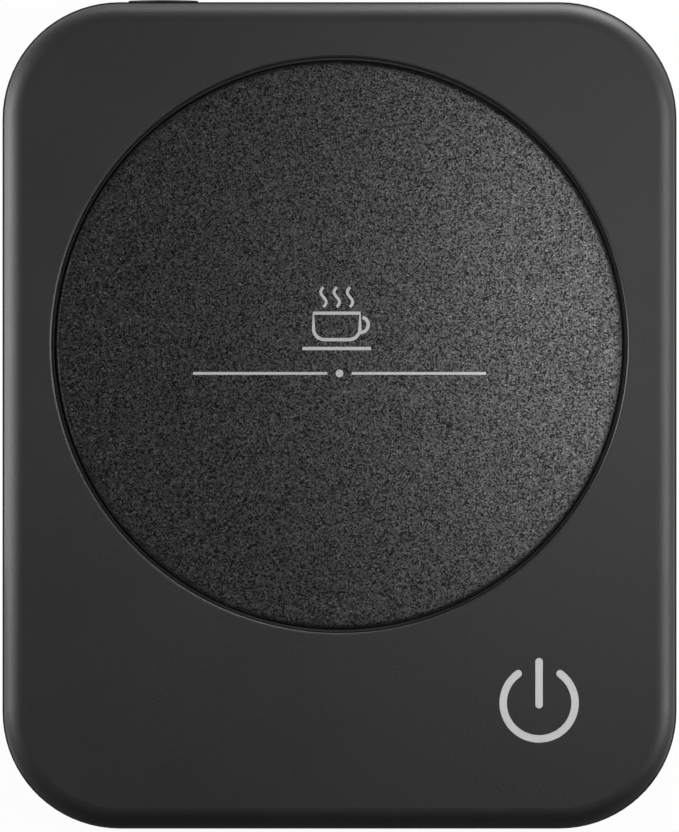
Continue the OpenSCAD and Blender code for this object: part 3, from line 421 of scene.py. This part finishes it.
def lamp_finish():
    """White reflector cups with a yellow phosphor under the lens."""
    finish = Finish("lamp_phosphor")
    lens = finish.axis("Z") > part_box("key_leds")[1].z - lens_height
    speck = finish.noise(0.0003, 3)
    tint = finish.blend(lens, finish.blend(speck, (0.75, 0.75, 0.73), (0.85, 0.85, 0.83)),
                        (0.85, 0.72, 0.22))
    return finish.surface(tint, 0.4 - lens * 0.3 + (speck - 0.5) * 0.1, speck, 0.00001)


coat(lamp_finish(), "key_leds")


# ---- Light guide ----
# Frosted acrylic square under the deck. Its raised ring and bar fill the slots of the power
# mark flush with the deck, and glow when the warmer is on.

def frosted(name):
    """Off-white translucent plastic, milky inside with a satin face."""
    finish = Finish(name)
    milk = finish.noise(0.0016, 3)
    grit = finish.noise(0.00025, 2)
    tint = finish.blend(milk, (0.44, 0.44, 0.445), (0.52, 0.52, 0.52))
    return finish.surface(tint, 0.42 + (grit - 0.5) * 0.15, grit, 0.00001,
                          Subsurface_Weight=0.15, Subsurface_Scale=0.0006)


coat(frosted("frosted_acrylic"), "light_guide")


# ---- Top cover ----
# Deck and side wall in one black moulding, satin on the deck and smoother on the wall.
# Handling polishes the rounded edge and the rim of the plate's opening a little smoother. The
# rounded edge is also tinted lighter, a painted highlight.

plate_middle = (0.0, 0.01275)
opening_radius = 0.05205
lip_radius = 0.05215


def from_plate_middle(finish):
    """How far a place is from the plate's axis, in metres."""
    return finish.add("VectorMath", {"operation": "DISTANCE"}, {
        0: finish.add("CombineXYZ", None, {0: finish.axis("X"), 1: finish.axis("Y")}),
        1: (*plate_middle, 0),
    }, out="Value")


def rise_of(finish):
    """1 where the surface faces up, 0 where it stands upright."""
    return finish.axis("Z", finish.add("NewGeometry", out="Normal"))


def deck_finish():
    finish = Finish("black_satin_plastic")
    rim = 1 - finish.ramp(abs(from_plate_middle(finish) - lip_radius), 0.0001, 0.0006)
    tilt = rise_of(finish)
    edge = (1 - finish.ramp(tilt, 0.55, 0.97)) * finish.ramp(tilt, 0.25, 0.55)
    cloud = finish.noise(0.02, 3)
    grit = finish.noise(0.00035, 2)
    dust = finish.ramp(finish.noise(0.0007, 1), 0.74, 0.8)
    tint = finish.blend(cloud * 0.4 + grit * 0.6, (0.0074, 0.0074, 0.0077),
                        (0.0122, 0.0122, 0.0125))
    # Painted highlight: the rounded edge is tinted lighter; the specks of dust are real.
    tint = finish.blend(edge * 0.2 + dust * 0.12, tint, (0.07, 0.07, 0.072))
    wall = 1 - finish.ramp(tilt, 0.35, 0.6)
    rough = (0.5 + (cloud - 0.5) * 0.1 + (grit - 0.5) * 0.16
             - edge * 0.08 - rim * 0.06 - wall * 0.3)
    return finish.surface(tint, rough, (grit - 0.5) * (1 - wall), 0.00003,
                          Specular_IOR_Level=0.4)


coat(deck_finish(), "top_cover")


# ---- Plate seal ----
# Black silicone ring under the plate. Its lip stands in the gap round the plate and keeps
# spills out of the housing.

coat(rubbered("seal_silicone", (0.008, 0.008, 0.008), 0.6), "plate_seal")


# ---- Heating plate ----
# Cast aluminium disc under a sandy heat-proof coating: charcoal binder with coarser grains.
# A few grains are tinted lighter as painted glints, standing in for bare metal flakes catching
# the light. Dark pits lie between the grains, and a painted shadow darkens the plate's rounded
# edge and a band inside the rim, where the deck's rim shades it.

grain_size = 0.00025
grain_shift = 0.0002


def plate_finish():
    finish = Finish("sandy_coating")
    fine = finish.noise(0.00024, 1)
    cloud = finish.noise(0.02, 2)
    shift = finish.add("CombineXYZ", None, {0: fine * grain_shift, 1: fine * -grain_shift})
    cells = finish.add("TexVoronoi", None, {
        "Vector": finish.add("VectorMath", {"operation": "ADD"}, {0: finish.place, 1: shift}),
        "Scale": 1 / grain_size,
    }, out="Color")
    grain = finish.axis("X", cells)
    shade = finish.axis("Y", cells)
    # Painted glints: a few grains are tinted lighter to stand in for metal flakes catching the
    # light.
    painted_glint_flake = finish.ramp(finish.axis("Z", cells), 0.95, 0.97)
    edge = 1 - finish.ramp(rise_of(finish), 0.8, 0.985)
    # Painted shadow: a band inside the plate's rim, where the deck's rim shades it.
    ink_thinning_and_painted_rim_shade = finish.ramp(from_plate_middle(finish), opening_radius - 0.0028,
                       opening_radius - 0.0008)
    sand = finish.ramp(grain * 0.7 + fine * 0.6, 0.3, 0.88)
    tint = finish.blend(shade * shade * grain, (0.0005, 0.0005, 0.0006), (0.062, 0.062, 0.064))
    tint = finish.blend(painted_glint_flake * 0.6 + (cloud - 0.5) * 0.02, tint, (0.12, 0.12, 0.123))
    rough = 0.34 - (shade - 0.5) * 0.08 + (cloud - 0.5) * 0.03 + edge * 0.35
    finish.surface(tint, rough, fine, 0.00002, Specular_IOR_Level=0.75)
    pit = finish.add("BsdfPrincipled", None, {
        "Base Color": (0.001, 0.001, 0.001, 1), "Roughness": 0.9, "Specular IOR Level": 0.1,
    })
    # The pits between grains are real; the rim band and the plate's rounded edge are painted
    # shadow.
    return finish.overlay((0.95 - sand * 0.95).either(ink_thinning_and_painted_rim_shade * 0.45 + edge * 0.25), pit)


coat(plate_finish(), "heating_plate")


# ---- Heater ----
# Between two mica sheets lies a resistance foil, cut into tracks that run to and fro. A clamp
# plate and a felt pad press it against the heating plate, and a sheet pan holds the stack.

def mica_finish():
    """Pressed mica: overlapping amber flakes with a pearly sheen."""
    finish = Finish("pressed_mica")
    flakes = finish.add("TexVoronoi", None, {"Vector": finish.place, "Scale": 420}, out="Color")
    tone = finish.axis("X", flakes)
    tint = finish.blend(tone * 0.7 + finish.noise(0.001, 4) * 0.3, (0.4, 0.31, 0.16),
                        (0.66, 0.57, 0.38))
    return finish.surface(tint, 0.25 + tone * 0.2, tone, 0.00002)


def felt_finish(name, colour):
    """Glass-fibre felt or sleeve: tangled fibres, dull and slightly fluffy."""
    finish = Finish(name)
    tangle = finish.noise(0.0006, 8)
    long_way = finish.add("Mapping", None, {"Vector": finish.place, "Rotation": (0, 0, 0.7),
                                            "Scale": (1, 9, 4)})
    fibre = finish.noise(0.0012, 6, long_way)
    dark, light = shades_of(colour, 0.14)
    return finish.surface(finish.blend(tangle * 0.5 + fibre * 0.5, dark, light),
                          0.9 + (tangle - 0.5) * 0.1, tangle * 0.5 + fibre * 0.5, 0.00015)


def braid_finish(name, colour):
    """Braided sleeve: crossing bundles of yarn."""
    finish = Finish(name)
    waves = [
        finish.add("TexWave", {"wave_type": "BANDS", "bands_direction": "DIAGONAL"}, {
            "Vector": finish.add("Mapping", None, {
                "Vector": finish.place, "Rotation": (0, 0, turn)}),
            "Scale": 900, "Distortion": 0.5,
        }, out="Fac")
        for turn in (0, math.pi / 2)
    ]
    yarn = waves[0].either(waves[1])
    dark, light = shades_of(colour, 0.25)
    return finish.surface(finish.blend(yarn, dark, light), 0.85 - yarn * 0.1, yarn, 0.00008)


coat(mica_finish(), "mica_sheet_upper", "mica_sheet_lower")
coat(plated("resistance_foil", (0.56, 0.5, 0.43), 0.28, 0.001), "heater_foil")
coat(plated("sheet_aluminium", (0.62, 0.63, 0.64), 0.38, 0.002), "clamp_plate", "retaining_pan")
coat(felt_finish("glass_felt", (0.78, 0.75, 0.68)), "insulation_pad")


# ---- Sensor, thermal fuse and their leads ----
# A bead thermistor in a steatite bush touches the plate, and the thermal fuse lies in a
# sleeve in the felt. Braided leads run from them and from the foil to the main board.

coat(moulded("steatite", (0.8, 0.78, 0.72), 0.6, 0.0002, 0.00001, 0.05), "sensor_bush")
coat(moulded("sensor_epoxy", (0.03, 0.03, 0.034), 0.28), "thermistor")
coat(plated("fuse_tin", (0.7, 0.7, 0.71), 0.25, 0.0008), "thermal_fuse")
coat(felt_finish("fuse_sleeve", (0.82, 0.79, 0.71)), "thermal_fuse_sleeve")
coat(braid_finish("cream_braid", (0.68, 0.64, 0.54)), "heater_leads", "thermal_fuse_leads")
coat(moulded("black_sheath", (0.025, 0.025, 0.028), 0.35), "thermistor_leads")


# ---- Screws, washers and nuts ----
# Zinc-plated steel. The housing screws sit in wells in the bottom cover; the others hold the
# boards, the cord clamp and the heater's pan.

coat(plated("zinc_steel", (0.5, 0.51, 0.53), 0.34, 0.0006), "housing_screws", "cord_clamp_screws",
     "key_board_screws", "board_screws", "terminal_screws", "pan_washers", "pan_nuts")


# ---- Print on the plate ----
# Silver-grey heat-proof ink in a film a few hundredths of a millimetre thick: a steaming cup,
# and below it a thin rule broken by a dot.

plate_level = 0.0223
ink_depth = 0.00003
stroke = 0.0006
thin_stroke = 0.0005


def print_on_plate(shape, name, material):
    """Makes a bmesh of ink a piece that rides on the housing's body."""
    bmesh.ops.remove_doubles(shape, verts=shape.verts, dist=1e-7)
    bmesh.ops.recalc_face_normals(shape, faces=shape.faces)
    piece = put(shape, name, material)
    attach(piece, "root")


def printed_line(shape, points, width, closed=False):
    """A line of ink along points on the plate: a strip whose sides are set off square to it."""
    count = len(points)
    rims = []
    for place, point in enumerate(points):
        before = points[place - 1] if closed or place else point
        after = points[(place + 1) % count] if closed or place < count - 1 else point
        way = (Vector(after) - Vector(before)).normalized()
        aside = Vector((-way.y, way.x)) * width / 2
        middle = Vector(point)
        rims.append([
            shape.verts.new((*(middle + side * aside), plate_level)) for side in (1, -1)
        ])
    spans = rims + rims[:1] if closed else rims
    strip = [
        shape.faces.new((first[0], first[1], second[1], second[0]))
        for first, second in zip(spans, spans[1:])
    ]
    raised = bmesh.ops.extrude_face_region(shape, geom=strip)["geom"]
    bmesh.ops.translate(shape, vec=(0, 0, ink_depth),
                        verts=[part for part in raised if isinstance(part, bmesh.types.BMVert)])


def ink_finish():
    finish = Finish("silver_ink")
    mottle = finish.noise(0.0006, 3)
    ink_thinning_and_painted_rim_shade = finish.ramp(finish.noise(0.0003, 2), 0.2, 0.45)
    tint = finish.blend(mottle * 0.5 + ink_thinning_and_painted_rim_shade * 0.5, (0.2, 0.2, 0.2), (0.42, 0.42, 0.42))
    return finish.surface(tint, 0.55 + (mottle - 0.5) * 0.2, ink_thinning_and_painted_rim_shade, 0.00003)


def arc(x, y, radius, start, end, steps):
    """Points along an arc, its angles in degrees."""
    return [
        (x + radius * math.cos(math.radians(start + (end - start) * step / steps)),
         y + radius * math.sin(math.radians(start + (end - start) * step / steps)))
        for step in range(steps + 1)
    ]


ink = ink_finish()
cup_x, cup_y = -0.0005, 0.0185
half_bowl = 0.0042
bowl_corner = 0.002
corner_x = 0.0022
corner_y = cup_y - 0.0028
saucer_y = cup_y - 0.0064
half_saucer = 0.0062
handle_x, handle_y = cup_x + 0.0043, cup_y - 0.0021
handle_radius = 0.0014
shape = bmesh.new()
bowl = ([(cup_x - half_bowl, cup_y)]
        + arc(cup_x - corner_x, corner_y, bowl_corner, 180, 270, 8)
        + arc(cup_x + corner_x, corner_y, bowl_corner, 270, 360, 8)
        + [(cup_x + half_bowl, cup_y)])
handle = arc(handle_x, handle_y, handle_radius, 75, -90, 12)
printed_line(shape, bowl, stroke, closed=True)
printed_line(shape, handle, stroke)
printed_line(shape, [(cup_x - half_saucer, saucer_y), (cup_x + half_saucer, saucer_y)], stroke)

steam_start = 0.0011
steam_sway = 0.0005
steam_step = 0.0003
steam_steps = 12
steam_apart = 0.0024
for wisp in (-steam_apart, 0.0, steam_apart):
    printed_line(shape, [
        (cup_x + wisp + steam_sway * math.sin(step / steam_steps * 2 * math.pi),
         cup_y + steam_start + steam_step * step)
        for step in range(steam_steps + 1)
    ], thin_stroke)
print_on_plate(shape, "printed_cup", ink)

rule_y = 0.0076
rule_start, rule_end = 0.0022, 0.0265
dot_radius = 0.0007
shape = bmesh.new()
for side in (-1, 1):
    printed_line(shape, [(side * rule_start, rule_y), (side * rule_end, rule_y)], thin_stroke)
bmesh.ops.create_cone(
    shape, cap_ends=True, segments=24, radius1=dot_radius, radius2=dot_radius, depth=ink_depth,
    matrix=Matrix.Translation((0, rule_y, plate_level + ink_depth / 2)))
print_on_plate(shape, "printed_rule", ink)


# ---- Lamps ----
# Soft boxes to the right, left and rear and above the two sides, and small ones flat on the
# table that brighten the rounded edge. The studio is dim, darker overhead and in front. A dark
# card on the table in front, hidden from the camera, paints shade into the reflections of the
# housing's front edge.

def soft_box(name, place, width, height, watts, aim=(0, 0, 0.02)):
    """A lamp of that width and height, which faces the housing unless it is aimed elsewhere."""
    lamp = bpy.data.lights.new(name, "AREA")
    lamp.shape = "RECTANGLE"
    lamp.size = width
    lamp.size_y = height
    lamp.energy = watts
    box = bpy.data.objects.new(name, lamp)
    turn = (Vector(aim) - Vector(place)).to_track_quat("-Z", "Y")
    box.matrix_world = Matrix.Translation(place) @ turn.to_matrix().to_4x4()
    box.visible_camera = False
    bpy.context.scene.collection.objects.link(box)


soft_box("left_top_box", (-0.17, 0.015, 0.15), 0.08, 0.04, 0.09, aim=(-0.057, 0.015, 0.02))
soft_box("right_box", (0.057, 0.025, 0.24), 0.03, 0.1, 0.13, aim=(0.057, 0.025, 0.02))
soft_box("right_side_box", (0.5, 0.01, 0.33), 0.22, 0.4, 3.3)
soft_box("left_box", (-0.5, 0.07, 0.085), 0.2, 0.45, 3.8)
soft_box("left_card", (-0.19, 0.022, 0.002), 0.2, 0.1, 0.17, aim=(-0.19, 0.022, 1))
soft_box("rear_box", (0.08, 0.45, 0.07), 0.5, 0.14, 0.95)
soft_box("rear_right_box", (0.13, 0.34, 0.08), 0.18, 0.16, 0.52)
soft_box("rear_card", (0.11, 0.22, 0.002), 0.18, 0.2, 0.75, aim=(0.11, 0.22, 1))

# Painted shade: a dark card, hidden from the camera, lies on the table in front so the housing's
# front edge mirrors it dark.
shade_card_reach = 0.5
shade_card_edge_y = -0.078
shade_card_level = 0.0006
shape = bmesh.new()
bmesh.ops.create_grid(shape, x_segments=1, y_segments=1, size=shade_card_reach,
                      matrix=Matrix.Translation((0, shade_card_edge_y - shade_card_reach, shade_card_level)))
black = Finish("black_card")
painted_shade_card = put(shape, "front_painted_shade_card", black.surface(
    black.blend(black.noise(0.01), (0.1, 0.1, 0.1), (0.14, 0.14, 0.14)), 0.9))
painted_shade_card.visible_camera = False

room_light = 0.16
least_light = 0.01
studio = bpy.data.worlds.new("studio")
bpy.context.scene.world = studio
room = Nodes(studio)
way = room.add("TexCoord", out="Generated")
to_camera = room.add("LightPath", out="Is Camera Ray")
dim = (1 - room.axis("Z", way)).both(1.0) * room_light + least_light
level = (dim * (0.6 + 0.4 * room.axis("Y", way))).either(to_camera)
room.feed(room.tree.nodes["Background"], {"Color": (1, 1, 1, 1), "Strength": level})
